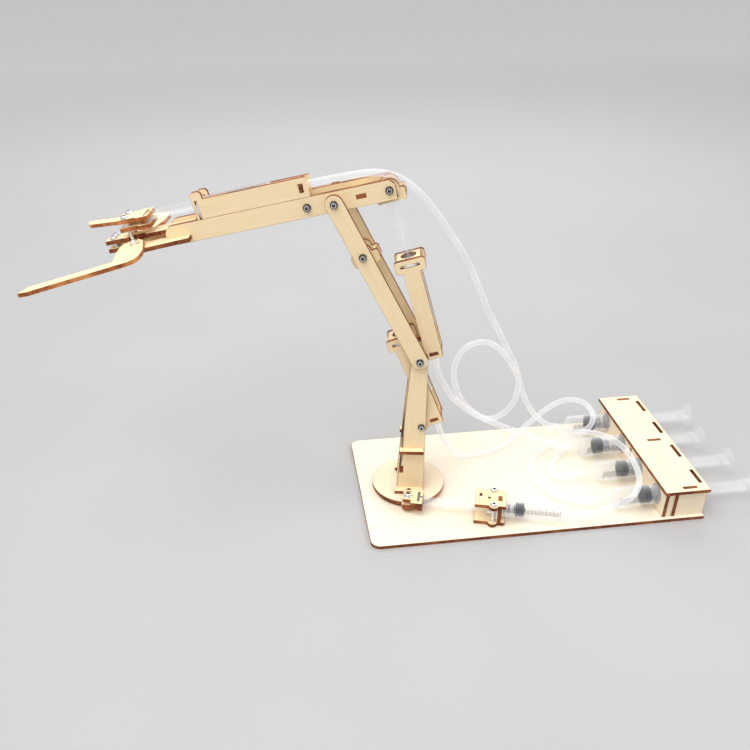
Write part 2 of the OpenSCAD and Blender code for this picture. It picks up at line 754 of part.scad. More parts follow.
// foot plate with its tabs, and the cap between the heads of the side plates
module holder_ends() translate([0, 0, -holder_offset]) difference() {
    union() {
        block([-0.5, -inner_out, -3.5], [2.5, inner_out, 3.5]);
        block([-0.5, -inner_in, -6.5], [2.5, inner_in, 6.5]);
        block([head_to - ply, -inner_in, -head_half + 2.5], [head_to, inner_in, head_half - 2.5]);
    }
    rod_x(-1, 3, tube_r + 0.3, 32);
    rod_x(head_to - ply - 1, head_to + 1, slave_bore - 0.3);
}

module holder_barrel() translate([0, 0, -holder_offset])
    barrel(barrel_tip, barrel_shoulder, barrel_mouth, flange_t, slave_r, slave_bore, 10.5, 10.5, 6.3);

module holder_plunger(reach) translate([0, 0, -holder_offset]) plunger(
    reach - thumb_gap - plunger_l + piston_l, reach - thumb_gap, 4.9,
    reach - 12, 3.7, 8, 6.8, 8);

module holder_piston(reach) translate([0, 0, -holder_offset])
    piston(reach - thumb_gap - plunger_l, piston_l, slave_bore - 0.06);

// two winged plates held apart by bars, which clasp the thumb rest and leave a loose slot for the bolt
module clevis_outline(slot_x0, slot_x1, slot_y0, slot_y1, lobe_r) difference() {
    union() {
        hole(0, 0, lobe_r);
        rounded_box(-9.8, -0.5, -10.5, 10.5, 2);
    }
    box_slot(slot_x0 - 1.6, slot_x1 + 1.6, slot_y0 - 1.6, slot_y1 + 1.6);
}

module holder_clevis(reach, x0, x1, z0, z1, lobe_r) translate([reach, 0, -holder_offset]) {
    difference() {
        wall_pair(clevis_in) clevis_outline(x0, x1, z0, z1, lobe_r);
        rod_x(-thumb_gap - thumb_t, -thumb_gap, 8);
    }
    for (side = [-1, 1], x = [-thumb_gap, -9.8])
        block([x, -clevis_in, side * 7.6 - 1.3], [x + ply, clevis_in, side * 7.6 + 1.3]);
}

module lower_holder_sides() color(wood) lower_frame() wall_pair(inner_in) holder_outline(true);

module lower_holder_ends() color(wood) lower_frame() holder_ends();

module lower_barrel() color(clear) lower_frame() holder_barrel();

module lower_plunger() color(clear) lower_frame() holder_plunger(lower_reach);

module lower_piston() color(rubber) lower_frame() holder_piston(lower_reach);

module lower_clevis() color(wood) lower_frame() holder_clevis(lower_reach, -0.05, 2.15, -0.8, 0.05, 6);

module upper_holder_sides() color(wood) upper_frame() wall_pair(inner_in) holder_outline(false);

module upper_holder_ends() color(wood) upper_frame() holder_ends();

module upper_barrel() color(clear) upper_frame() holder_barrel();

module upper_plunger() color(clear) upper_frame() holder_plunger(upper_reach);

module upper_piston() color(rubber) upper_frame() holder_piston(upper_reach);

module upper_clevis() color(wood) upper_frame() holder_clevis(upper_reach, -0.15, 0.4, -0.1, 3.5, 7);

/* ---- soft tubes ---- */

// direction of a route at one of its points
function heading(route, i) =
    let (last = len(route) - 1, v = route[min(i + 1, last)] - route[max(i - 1, 0)]) v / norm(v);

// ring of points round a route, with a side direction that stays clear of the route
function ring(route, i, side) =
    let (t = heading(route, i), a = cross(t, side) / norm(cross(t, side)), b = cross(t, a))
    [for (k = [0:tube_sides - 1])
        route[i] + tube_r * (cos(360 * k / tube_sides) * a + sin(360 * k / tube_sides) * b)];

module tube(route, side) {
    n = len(route);
    m = tube_sides;
    points = [for (i = [0:n - 1]) each ring(route, i, side)];
    skin = [for (i = [0:n - 2], k = [0:m - 1])
        [i * m + k, i * m + (k + 1) % m, (i + 1) * m + (k + 1) % m, (i + 1) * m + k]];
    start = [[for (k = [0:m - 1]) m - 1 - k]];
    end = [[for (k = [0:m - 1]) (n - 1) * m + k]];
    polyhedron(points = points, faces = concat(skin, start, end), convexity = 10);
}

module tube_gripper() color(soft) tube(gripper_route, [0, 1, 0]);

module tube_upper() color(soft) tube(upper_route, [0, 1, 0]);

module tube_lower() color(soft) tube(lower_route, [0.3, 0, 1]);

module tube_turn() color(soft) tube(turn_route, [0, 0, 1]);

/* ---- drawing ---- */

base_board();
fixed_disc();
box_front_wall();
box_inner_wall();
box_back_wall();
box_top_plate();
box_ribs();
master_barrels();
master_plunger(0);  // master_plunger_1
master_plunger(1);  // master_plunger_2
master_plunger(2);  // master_plunger_3
master_plunger(3);  // master_plunger_4
master_piston(0);  // master_piston_1
master_piston(1);  // master_piston_2
master_piston(2);  // master_piston_3
master_piston(3);  // master_piston_4
tube_gripper();
tube_upper();
tube_lower();
tube_turn();
swivel_plates();
swivel_screws();
turn_barrel();
turn_plunger();
turn_piston();
crank_clevis();
turntable_disc();
tower_front_plate();
tower_rear_plate();
tower_cross_plates();
tower_bolts();
upper_arm_front();
upper_arm_rear();
upper_arm_bolts();
forearm_front();
forearm_rear();
forearm_cross_plate();
forearm_bolts();
gripper_box();
palm_plates();
gripper_barrel();
gripper_plunger();
gripper_piston();
crosshead();
drive_screws();
jaw_near();
jaw_far();
lower_holder_sides();
lower_holder_ends();
lower_barrel();
lower_plunger();
lower_piston();
lower_clevis();
upper_holder_sides();
upper_holder_ends();
upper_barrel();
upper_plunger();
upper_piston();
upper_clevis();
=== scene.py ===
"""Studio scene of a plywood arm with a two-jaw gripper, driven by syringes through soft tubes."""
import json
import math

import bmesh
import bpy
from mathutils import Matrix, Vector
from mathutils.bvhtree import BVHTree


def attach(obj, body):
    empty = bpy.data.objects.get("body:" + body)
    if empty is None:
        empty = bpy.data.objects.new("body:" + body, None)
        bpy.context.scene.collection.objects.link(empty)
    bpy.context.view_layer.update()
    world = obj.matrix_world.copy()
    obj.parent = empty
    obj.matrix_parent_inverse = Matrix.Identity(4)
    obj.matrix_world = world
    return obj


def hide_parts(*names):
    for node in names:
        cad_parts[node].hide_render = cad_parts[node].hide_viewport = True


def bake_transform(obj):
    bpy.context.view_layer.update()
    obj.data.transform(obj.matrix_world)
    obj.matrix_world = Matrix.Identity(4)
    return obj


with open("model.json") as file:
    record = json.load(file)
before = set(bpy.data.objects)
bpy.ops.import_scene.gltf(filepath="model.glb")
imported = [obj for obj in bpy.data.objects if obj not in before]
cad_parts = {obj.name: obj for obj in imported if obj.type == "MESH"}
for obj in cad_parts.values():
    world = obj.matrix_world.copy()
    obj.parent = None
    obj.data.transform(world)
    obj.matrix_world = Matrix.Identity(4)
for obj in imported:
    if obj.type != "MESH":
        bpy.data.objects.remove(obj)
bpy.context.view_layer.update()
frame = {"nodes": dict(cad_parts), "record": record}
nodes = frame["nodes"]
MM = 0.001

# ---------------------------------------------------------------- frames, as in the CAD source

TURN_X, ARM_YAW, CRANK_R = -98.0, -10.0, 33.0
SHOULDER = (6.5, 135.5)
TOWER_PIN = (9.5, 73.5)
UPPER_ANGLE, UPPER_L, PLUNGER_PIN = 117.2, 138.0, 95.0
PITCH, REAR_PIN = 12.6, 39.0
OFFSET = 11.5
THUMB_GAP, TURN_THUMB_GAP, PLUNGER_L, PISTON_L = 5.0, 8.0, 89.0, 8.0
TIP, SHOULDER_X, MOUTH = 11.8, 21.0, 76.8
SWIVEL = (-38.0, -51.6, 13.5)
JAW_F, JAW_L = 147.0, 16.0
DRIVE_F = JAW_F + 4.45
GRIP_N = 13.5
TUBE_R = 2.5
HEAD_H = 2.2
BOLT_R = 1.5
PALM_LOW, PALM_HIGH = -4.5, 1.6
INNER_OUT, TOWER_OUT, OUTER_OUT = 10.0, 13.3, 16.6
MASTER_Y = [37.0 * (1.5 - i) for i in range(4)]
MASTER_Z = 15.5
PISTON_X = [85.8, 79.5, 88.1, 92.9]


def turn_about(axis, degrees):
    return Matrix.Rotation(math.radians(degrees), 4, axis)


def move(x, y, z):
    return Matrix.Translation((x, y, z))


def polar(origin, length, degrees):
    a = math.radians(degrees)
    return (origin[0] + length * math.cos(a), origin[1] + length * math.sin(a))


def lean(pivot, bolt):
    """Direction and reach of a syringe that leans from its pivot to its bolt."""
    dx, dz = bolt[0] - pivot[0], bolt[1] - pivot[1]
    d = math.hypot(dx, dz)
    return math.degrees(math.atan2(dz, dx) + math.asin(OFFSET / d)), math.sqrt(d * d - OFFSET * OFFSET)


ELBOW = polar(SHOULDER, UPPER_L, UPPER_ANGLE)
PLUNGER_BOLT = polar(SHOULDER, PLUNGER_PIN, UPPER_ANGLE)
REAR_BOLT = polar(ELBOW, REAR_PIN, PITCH)
LOWER_ANGLE, LOWER_REACH = lean(TOWER_PIN, PLUNGER_BOLT)
HOLDER_ANGLE, UPPER_REACH = lean(SHOULDER, REAR_BOLT)
CRANK = polar((TURN_X, 0.0), CRANK_R, ARM_YAW - 90)
TURN_ANGLE = math.degrees(math.atan2(CRANK[1] - SWIVEL[1], CRANK[0] - SWIVEL[0]))
TURN_REACH = math.hypot(CRANK[0] - SWIVEL[0], CRANK[1] - SWIVEL[1])

ARM = move(TURN_X, 0, 0) @ turn_about("Z", ARM_YAW)
UPPER_ARM = ARM @ move(SHOULDER[0], 0, SHOULDER[1]) @ turn_about("Y", -UPPER_ANGLE)
FOREARM = ARM @ move(ELBOW[0], 0, ELBOW[1]) @ turn_about("Y", -PITCH) @ turn_about("Z", 180)
LOWER = ARM @ move(TOWER_PIN[0], 0, TOWER_PIN[1]) @ turn_about("Y", -LOWER_ANGLE)
HOLDER = ARM @ move(SHOULDER[0], 0, SHOULDER[1]) @ turn_about("Y", -HOLDER_ANGLE)
TURNER = move(*SWIVEL) @ turn_about("Z", TURN_ANGLE)


def point(matrix, x, y, z):
    """A point given in millimetres in one of the frames, in metres in the row's frame."""
    return matrix @ Vector((x, y, z)) * MM


# ---------------------------------------------------------------- camera, stage and light

scene = bpy.context.scene
camera_data = bpy.data.cameras.new("camera")
camera_data.lens = 38.49
camera_data.sensor_width = 36.0
camera_data.shift_y = 0.0567
camera_data.clip_start = 0.02
camera_data.clip_end = 20.0
camera = bpy.data.objects.new("camera", camera_data)
camera.location = (-0.2037, -0.5488, 0.4362)
camera.rotation_euler = (math.radians(90 - 32.98), 0.0, math.radians(-7.95))
scene.collection.objects.link(camera)
scene.camera = camera
scene.view_settings.view_transform = "Standard"

world = bpy.data.worlds.new("studio")
world.use_nodes = True
world.node_tree.nodes["Background"].inputs["Color"].default_value = (0.97, 0.975, 1.0, 1.0)
world.node_tree.nodes["Background"].inputs["Strength"].default_value = 0.68
scene.world = world


def area_light(name, place, target, size, energy, colour=(1.0, 1.0, 1.0)):
    data = bpy.data.lights.new(name, "AREA")
    data.shape = "RECTANGLE"
    data.size, data.size_y = size
    data.energy = energy
    data.color = colour
    obj = bpy.data.objects.new(name, data)
    obj.location = place
    obj.rotation_euler = (Vector(target) - Vector(place)).to_track_quat("-Z", "Y").to_euler()
    scene.collection.objects.link(obj)
    return obj


area_light("key_softbox", (-0.55, -0.35, 1.25), (0.0, 0.0, 0.05), (1.1, 0.9), 14.0, (1.0, 0.99, 0.965))
area_light("right_softbox", (0.95, -0.25, 0.9), (0.05, 0.0, 0.08), (0.8, 0.8), 4.6)
area_light("back_softbox", (0.1, 1.1, 1.0), (0.0, 0.0, 0.1), (1.4, 0.7), 4.5)

# ---------------------------------------------------------------- mesh helpers


def new_object(name, bm, material, smooth=30.0):
    mesh = bpy.data.meshes.new(name)
    bm.normal_update()
    bm.to_mesh(mesh)
    bm.free()
    obj = bpy.data.objects.new(name, mesh)
    scene.collection.objects.link(obj)
    mesh.materials.append(material)
    if smooth:
        mesh.shade_smooth()
        mesh.set_sharp_from_angle(angle=math.radians(smooth))
    return obj


# ---------------------------------------------------------------- materials


def material(name):
    mat = bpy.data.materials.new(name)
    mat.use_nodes = True
    tree = mat.node_tree
    return mat, tree, tree.nodes["Principled BSDF"]


def noise_at(tree, vector, scale, detail=3.0, rough=0.55):
    node = tree.nodes.new("ShaderNodeTexNoise")
    node.inputs["Scale"].default_value = scale
    node.inputs["Detail"].default_value = detail
    node.inputs["Roughness"].default_value = rough
    tree.links.new(vector, node.inputs["Vector"])
    return node.outputs["Fac"]


def ramp(tree, factor, stops):
    node = tree.nodes.new("ShaderNodeValToRGB")
    while len(node.color_ramp.elements) < len(stops):
        node.color_ramp.elements.new(0.5)
    for element, (at, colour) in zip(node.color_ramp.elements, stops):
        element.position = at
        element.color = (*colour, 1.0)
    tree.links.new(factor, node.inputs["Fac"])
    return node.outputs["Color"]


def blend_colour(tree, factor, a, b, mode="MIX"):
    node = tree.nodes.new("ShaderNodeMix")
    node.data_type = "RGBA"
    node.blend_type = mode
    for socket, value in ((node.inputs[0], factor), (node.inputs[6], a), (node.inputs[7], b)):
        if isinstance(value, (float, int)):
            socket.default_value = value
        elif isinstance(value, tuple):
            socket.default_value = (*value, 1.0)
        else:
            tree.links.new(value, socket)
    return node.outputs[2]


def maths(tree, operation, a, b=None, clamp=False):
    node = tree.nodes.new("ShaderNodeMath")
    node.operation = operation
    node.use_clamp = clamp
    for socket, value in zip(node.inputs, (a, b)):
        if isinstance(value, (float, int)):
            socket.default_value = value
        elif value is not None:
            tree.links.new(value, socket)
    return node.outputs[0]


def bump(tree, shader, height, strength, distance):
    node = tree.nodes.new("ShaderNodeBump")
    node.inputs["Strength"].default_value = strength
    node.inputs["Distance"].default_value = distance
    tree.links.new(height, node.inputs["Height"])
    tree.links.new(node.outputs["Normal"], shader.inputs["Normal"])


def stretched(tree, rotation, scale):
    """Object coordinates turned into a frame and squeezed along its axes."""
    coords = tree.nodes.new("ShaderNodeTexCoord")
    mapping = tree.nodes.new("ShaderNodeMapping")
    mapping.vector_type = "TEXTURE"
    mapping.inputs["Rotation"].default_value = rotation.to_euler()
    mapping.inputs["Scale"].default_value = scale
    tree.links.new(coords.outputs["Object"], mapping.inputs["Vector"])
    return mapping.outputs["Vector"]


PALE_WOOD = ((0.85, 0.74, 0.56), (0.90, 0.80, 0.645), (0.925, 0.845, 0.71))
MID_WOOD = ((0.81, 0.66, 0.44), (0.875, 0.74, 0.53), (0.905, 0.785, 0.60))
WARM_WOOD = ((0.79, 0.58, 0.33), (0.875, 0.68, 0.41), (0.92, 0.745, 0.48))
DARK_CHAR = ((0.050, 0.010, 0.003), (0.16, 0.036, 0.010), (0.34, 0.105, 0.030), (0.44, 0.16, 0.05))
RED_CHAR = ((0.10, 0.020, 0.005), (0.34, 0.095, 0.022), (0.62, 0.235, 0.060), (0.78, 0.36, 0.12))


def plywood(name, rotation, wood=WARM_WOOD, char=DARK_CHAR):
    """Pale basswood plywood: long soft grain on the faces, scorched brown where the laser cut it."""
    mat, tree, shader = material(name)
    fine = noise_at(tree, stretched(tree, rotation, (1.0, 0.03, 0.03)), 30.0, 5.0, 0.55)
    broad = noise_at(tree, stretched(tree, rotation, (1.0, 0.2, 0.2)), 7.0, 2.0)
    face = ramp(tree, fine, [(0.25, wood[0]), (0.46, wood[1]), (0.72, wood[2])])
    face = blend_colour(tree, maths(tree, "MULTIPLY", broad, 0.6), face, wood[2])
    coords = tree.nodes.new("ShaderNodeTexCoord")
    soot = noise_at(tree, coords.outputs["Object"], 420.0, 4.0, 0.65)
    patch = noise_at(tree, coords.outputs["Object"], 60.0, 2.0)
    scorch = ramp(tree, soot, [(0.30, char[0]), (0.50, char[1]), (0.74, char[2])])
    glow = ramp(tree, patch, [(0.42, (0.0, 0.0, 0.0)), (0.68, (0.75, 0.75, 0.75))])
    scorch = blend_colour(tree, glow, scorch, char[3])
    burn = tree.nodes.new("ShaderNodeAttribute")
    burn.attribute_name = "burn"
    fray = maths(tree, "MULTIPLY", maths(tree, "SUBTRACT", soot, 0.5), 0.5)
    ragged = maths(tree, "ADD", burn.outputs["Fac"], fray)
    toast = maths(tree, "MULTIPLY", maths(tree, "SUBTRACT", ragged, 0.15, True), 0.9, True)
    face = blend_colour(tree, toast, face, (0.78, 0.46, 0.21))
    mask = maths(tree, "MULTIPLY", maths(tree, "SUBTRACT", ragged, 0.50, True), 3.0, True)
    colour = blend_colour(tree, mask, face, scorch)
    tree.links.new(colour, shader.inputs["Base Color"])
    rough = maths(tree, "ADD", maths(tree, "MULTIPLY", fine, 0.2), 0.50)
    tree.links.new(rough, shader.inputs["Roughness"])
    shader.inputs["Specular IOR Level"].default_value = 0.3
    bump(tree, shader, fine, 0.15, 0.0001)
    return mat


def screw_steel(name, low, high):
    mat, tree, shader = material(name)
    coords = tree.nodes.new("ShaderNodeTexCoord")
    grain = noise_at(tree, coords.outputs["Object"], 900.0, 3.0)
    spots = noise_at(tree, coords.outputs["Object"], 160.0, 2.0)
    colour = ramp(tree, spots, [(0.3, low), (0.6, high)])
    tree.links.new(colour, shader.inputs["Base Color"])
    tree.links.new(maths(tree, "ADD", maths(tree, "MULTIPLY", grain, 0.25), 0.18), shader.inputs["Roughness"])
    shader.inputs["Metallic"].default_value = 1.0
    bump(tree, shader, grain, 0.15, 0.00005)
    return mat


def piston_rubber():
    mat, tree, shader = material("piston_rubber")
    coords = tree.nodes.new("ShaderNodeTexCoord")
    dust = noise_at(tree, coords.outputs["Object"], 500.0, 4.0)
    colour = ramp(tree, dust, [(0.35, (0.010, 0.011, 0.014)), (0.75, (0.035, 0.037, 0.044))])
    tree.links.new(colour, shader.inputs["Base Color"])
    tree.links.new(maths(tree, "ADD", maths(tree, "MULTIPLY", dust, 0.3), 0.28), shader.inputs["Roughness"])
    bump(tree, shader, dust, 0.1, 0.0001)
    return mat


def printed_ink():
    mat, tree, shader = material("printed_ink")
    coords = tree.nodes.new("ShaderNodeTexCoord")
    wear = noise_at(tree, coords.outputs["Object"], 1500.0, 3.0)
    tree.links.new(ramp(tree, wear, [(0.4, (0.03, 0.03, 0.035)), (0.8, (0.16, 0.16, 0.17))]),
                   shader.inputs["Base Color"])
    tree.links.new(maths(tree, "ADD", maths(tree, "MULTIPLY", wear, 0.3), 0.35), shader.inputs["Roughness"])
    return mat


def clear_plastic(name, tint, low, high, rough, mottle=0.06, painted_glow=0.0):
    """Thin clear plastic: nearly invisible face on, whiter and glossier where it turns away.
    The last argument sets an emitted glow in the plastic's own colour, painted light that lifts its shaded
    sides."""
    mat, tree, shader = material(name)
    coords = tree.nodes.new("ShaderNodeTexCoord")
    flow = noise_at(tree, coords.outputs["Object"], 60.0, 1.0)
    weight = tree.nodes.new("ShaderNodeLayerWeight")
    weight.inputs["Blend"].default_value = 0.35
    alpha = maths(tree, "ADD", maths(tree, "MULTIPLY", weight.outputs["Facing"], high - low), low)
    uneven = maths(tree, "MULTIPLY", maths(tree, "SUBTRACT", flow, 0.5), mottle)
    alpha = maths(tree, "ADD", alpha, uneven, True)
    tree.links.new(alpha, shader.inputs["Alpha"])
    pale = tuple(c + 0.5 * (0.97 - c) for c in tint)
    colour = blend_colour(tree, flow, tint, pale)
    tree.links.new(colour, shader.inputs["Base Color"])
    tree.links.new(maths(tree, "ADD", maths(tree, "MULTIPLY", flow, 0.12), rough), shader.inputs["Roughness"])
    shader.inputs["IOR"].default_value = 1.49
    # Painted glow: the plastic emits its own colour so its shaded sides stay light.
    tree.links.new(colour, shader.inputs["Emission Color"])
    shader.inputs["Emission Strength"].default_value = painted_glow
    return mat


FLAT = Matrix.Identity(3)


def frame_turn(matrix):
    return matrix.to_3x3()


WOODS = {
    "base": plywood("plywood_base", FLAT, PALE_WOOD),
    "box": plywood("plywood_box", Matrix.Rotation(math.radians(90), 3, "Z"), MID_WOOD),
    "arm": plywood("plywood_tower", frame_turn(ARM) @ Matrix.Rotation(math.radians(-90), 3, "Y")),
    "upper_arm": plywood("plywood_upper_arm", frame_turn(UPPER_ARM)),
    "forearm": plywood("plywood_forearm", frame_turn(FOREARM)),
    "gripper": plywood("plywood_gripper", frame_turn(FOREARM), WARM_WOOD, RED_CHAR),
    "lower": plywood("plywood_lower_holder", frame_turn(LOWER)),
    "holder": plywood("plywood_upper_holder", frame_turn(HOLDER)),
    "turner": plywood("plywood_swivel", frame_turn(TURNER) @ Matrix.Rotation(math.radians(90), 3, "Z")),
}
STEEL = screw_steel("zinc_steel", (0.62, 0.62, 0.63), (0.82, 0.82, 0.83))
# Steel painted dark: painted shade in the screw sockets and a painted dark reflection on the head flanks of the
# cross bolts.
SHADED_STEEL = screw_steel("steel_painted_dark", (0.030, 0.028, 0.027), (0.075, 0.070, 0.066))
RUBBER = piston_rubber()
# The last value given for the barrel, plunger and tube plastics is the strength of their painted glow; the
# flange plastic has none.
CLEAR = clear_plastic("barrel_plastic", (0.64, 0.65, 0.66), 0.04, 0.50, 0.08, 0.04, 0.30)
MILKY = clear_plastic("flange_plastic", (0.88, 0.88, 0.87), 0.70, 0.95, 0.20)
ROD = clear_plastic("plunger_plastic", (0.62, 0.63, 0.64), 0.07, 0.32, 0.16, 0.04, 0.28)
SOFT = clear_plastic("tube_silicone", (0.55, 0.55, 0.56), 0.22, 0.76, 0.20, 0.03, 0.46)
INK = printed_ink()

# ---------------------------------------------------------------- soft tubes


def smooth_route(points, steps=8):
    """Catmull-Rom curve through the route's points."""
    path = []
    for i in range(len(points) - 1):
        a = points[max(i - 1, 0)]
        b, c = points[i], points[i + 1]
        d = points[min(i + 2, len(points) - 1)]
        for k in range(steps):
            t = k / steps
            path.append(0.5 * (2 * b + (c - a) * t + (2 * a - 5 * b + 4 * c - d) * t * t
                               + (3 * b - a - 3 * c + d) * t ** 3))
    path.append(points[-1].copy())
    return path


def tube_rings(path, radius, side, sides=20):
    """Rings of points round a path, carried along it without twist."""
    rings = []
    normal = Vector(side)
    for i, p in enumerate(path):
        ahead = (path[min(i + 1, len(path) - 1)] - path[max(i - 1, 0)]).normalized()
        normal = (normal - ahead * normal.dot(ahead)).normalized()
        across = ahead.cross(normal)
        rings.append([p + radius * (math.cos(2 * math.pi * k / sides) * normal
                                    + math.sin(2 * math.pi * k / sides) * across) for k in range(sides)])
    return rings


def skin(bm, rings):
    rows = [[bm.verts.new(p) for p in ring] for ring in rings]
    count = len(rows[0])
    for a, b in zip(rows, rows[1:]):
        for k in range(count):
            bm.faces.new((b[k], b[(k + 1) % count], a[(k + 1) % count], a[k]))
    return rows


def soft_tube(node, route, cuts, side, steps=8):
    """One tube, split where it crosses from one moving body to the next.
    cuts holds (last point of the stretch, body, next body or None, blend start, blend end); the blend start and
    blend end are not used."""
    points = [Vector(p) * MM for p in route]
    path = smooth_route(points, steps)
    outer = tube_rings(path, TUBE_R * MM, side)
    first = 0
    for number, (last, body, other, start, end) in enumerate(cuts):
        stop = last * steps
        bm = bmesh.new()
        rows = skin(bm, outer[first:stop + 1])
        if number == 0:
            bm.faces.new(rows[0])
        if number == len(cuts) - 1:
            bm.faces.new(rows[-1][::-1])
        piece = new_object(f"{node}_{number + 1}", bm, SOFT, 60)
        if other is None:
            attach(piece, body)
        else:
            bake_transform(piece)
        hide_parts(node)
        first = stop


def millimetres(matrix, x, y, z):
    return tuple(matrix @ Vector((x, y, z)))


gripper_route = [
    millimetres(FOREARM, 32.5, 0, GRIP_N), millimetres(FOREARM, 16, 0, GRIP_N), (-148, 9, 273),
    (-128, 5, 276), (-115, 2, 274.5), (-103, 1, 268.5), (-88, 3, 254), (-70, 8, 229), (-52, 14, 200),
    (-34, 20, 161), (-21, 26, 137), (-9, 31, 114), (2, 35, 92), (6, 38, 74), (4, 40, 56), (-5, 40, 44),
    (-18, 40, 40), (-32, 40, 48), (-45, 40, 64), (-52, 40, 84), (-51, 41, 101), (-42, 43, 113),
    (-29, 45, 116), (-16, 47, 111), (-3, 49, 97), (9, 51, 76), (18, 53, 53), (30, 55, 32), (43, 55.5, 19),
    (50, 55.5, 15.5), (54.7, 55.5, 15.5)]
upper_route = [
    millimetres(HOLDER, TIP, 0, -OFFSET), millimetres(HOLDER, -4, 0, -OFFSET), (-77, 1, 120), (-70, 7, 102),
    (-59, 14, 82), (-46, 19, 67), (-32, 20, 56), (-16, 20, 47), (2, 19.5, 38), (20, 19, 30), (36, 18.5, 21),
    (48, 18.5, 15.5), (54.7, 18.5, 15.5)]
lower_route = [
    millimetres(LOWER, TIP, 0, -OFFSET), millimetres(LOWER, -4, 0, -OFFSET), (-73, 0, 62), (-66, 8, 44),
    (-56, 20, 24), (-45, 30, 10), (-30, 33, 5.6), (-12, 37, 5.6), (4, 47, 6), (17, 57, 9), (33, 63, 19),
    (50, 67, 30), (66, 66, 37), (79, 57, 38), (83, 44, 34), (78, 33, 29), (66, 27, 24), (55, 27, 15),
    (45, 20, 7), (36, 8, 5.6), (32, -7, 5.6), (38, -16, 10), (47, -18.5, 15.5), (54.7, -18.5, 15.5)]
turn_route = [
    millimetres(TURNER, -69, 0, 0), millimetres(TURNER, -74, 0, 0), (48, -71.5, 16), (62, -72, 21),
    (76, -69, 27), (86, -56, 31), (91, -36, 32), (91, -14, 33), (84, 3, 34), (73, 12, 34), (60, 21, 31),
    (47, 30, 20), (35, 32, 8), (23, 22, 5.6), (15, 4, 5.6), (15, -15, 5.6), (22, -32, 6), (33, -46, 9),
    (44, -54, 13.5), (50, -55.5, 15.5), (54.7, -55.5, 15.5)]

soft_tube("tube_gripper", gripper_route, [
    (5, "forearm", None, None, None),
    (8, "forearm", "upper_arm", (-103, 1, 268.5), (-52, 14, 200)),
    (13, "upper_arm", "turntable", (-52, 14, 200), (6, 38, 74)),
    (30, "turntable", "base", (0, 38, 0), (0, 55, 0))], (0, 1, 0))
soft_tube("tube_upper", upper_route, [
    (3, "upper_holder", "upper_arm", upper_route[1], (-70, 7, 102)),
    (6, "upper_arm", "turntable", (-70, 7, 102), (-32, 20, 56)),
    (12, "turntable", "base", (-32, 20, 56), (20, 19, 30))], (0, 1, 0))
soft_tube("tube_lower", lower_route, [
    (4, "lower_holder", "turntable", lower_route[1], (-56, 20, 24)),
    (23, "turntable", "base", (-56, 20, 24), (4, 47, 6))], (0, 1, 0))
soft_tube("tube_turn", turn_route, [
    (4, "swivel", "base", turn_route[1], (76, -69, 27)),
    (20, "base", None, None, None)], (0, 0, 1))

# ---------------------------------------------------------------- plywood pieces

WOOD_OF = {
    "base": "base", "turntable": "arm", "upper_arm": "upper_arm", "forearm": "forearm", "swivel": "turner",
    "turn_rod": "turner", "gripper_slider": "gripper", "near_jaw": "gripper", "far_jaw": "gripper",
    "lower_holder": "lower", "lower_rod": "lower", "upper_holder": "holder", "upper_rod": "holder",
}
BODY_OF = {n: b for b, ns in frame["record"]["behaviour"]["bodies"].items() for n in ns}
SLOT_OF = {s["node"]: s["material_slot"] for s in frame["record"]["subparts"]}
SHEET = 3.0 * MM
RIM = 0.45 * MM


def plywood_piece(node):
    """A copy of a CAD sheet part with scorched rims.
    Cut faces are burnt all over, and the faces of the sheet fade from the rim inward.
    """
    source = nodes[node]
    bm = bmesh.new()
    bm.from_mesh(source.data)
    bmesh.ops.remove_doubles(bm, verts=bm.verts, dist=2e-6)
    bmesh.ops.dissolve_limit(bm, angle_limit=math.radians(0.5), verts=bm.verts, edges=bm.edges)
    bm.normal_update()
    tree = BVHTree.FromBMesh(bm)
    rim = bm.verts.layers.float.new("burn")
    sheet = bm.faces.layers.int.new("sheet")
    whole, thin = {}, {}
    for loops in bm.calc_loop_triangles():
        a, b, c = (loop.vert.co for loop in loops)
        area = (b - a).cross(c - a).length
        if area < 1e-11:
            continue
        face = loops[0].face
        for wa, wb, wc in ((1, 1, 1), (4, 1, 1), (1, 4, 1), (1, 1, 4), (2, 2, 1), (1, 2, 2), (2, 1, 2)):
            start = (a * wa + b * wb + c * wc) / (wa + wb + wc) - face.normal * 1e-5
            hit, normal, _, distance = tree.ray_cast(start, -face.normal, 0.02)
            whole[face] = whole.get(face, 0.0) + area
            if hit is None or abs(distance + 1e-5 - SHEET) >= 0.12 * MM:
                continue
            if abs(normal.dot(face.normal)) > 0.99:
                thin[face] = thin.get(face, 0.0) + area
    for face, area in whole.items():
        face[sheet] = 1 if thin.get(face, 0.0) > 0.5 * area else 0
    bmesh.ops.triangulate(bm, faces=[f for f in bm.faces if len(f.verts) > 4])
    flat = [face for face in bm.faces if face[sheet]]
    before = bm.verts.layers.float_vector.new("before")
    for vert in bm.verts:
        vert[rim] = 1.0
        vert[before] = vert.co
    bmesh.ops.inset_region(bm, faces=flat, thickness=RIM, use_even_offset=True, use_boundary=True)
    for face in flat:
        for vert in face.verts:
            vert[rim] = 0.0
    for vert in bm.verts:
        step = vert.co - vert[before]
        if step.length > 1.6 * RIM:
            vert.co = vert[before] + step.normalized() * RIM
    bm.verts.layers.float_vector.remove(before)
    wood = "box" if node.startswith("box") or node.endswith("disc") else WOOD_OF[BODY_OF[node]]
    piece = new_object(f"{node}_sheet", bm, WOODS[wood], 25)
    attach(piece, BODY_OF[node])
    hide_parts(node)
    return piece


for node, slot in SLOT_OF.items():
    if slot == "plywood":
        plywood_piece(node)

# ---------------------------------------------------------------- turned pieces


def ring_at(matrix, x, r, sides, flats=None, hexagonal=False):
    """Ring of points about the x axis of a frame, cut flat on two sides or six if asked."""
    ring = []
    for k in range(sides):
        a = 2 * math.pi * k / sides
        reach = r / math.cos((a + math.pi / 6) % (math.pi / 3) - math.pi / 6) if hexagonal else r
        y, z = reach * math.cos(a), reach * math.sin(a)
        if flats:
            y, z = max(-flats[0], min(flats[0], y)), max(-flats[1], min(flats[1], z))
        ring.append(point(matrix, x, y, z))
    return ring


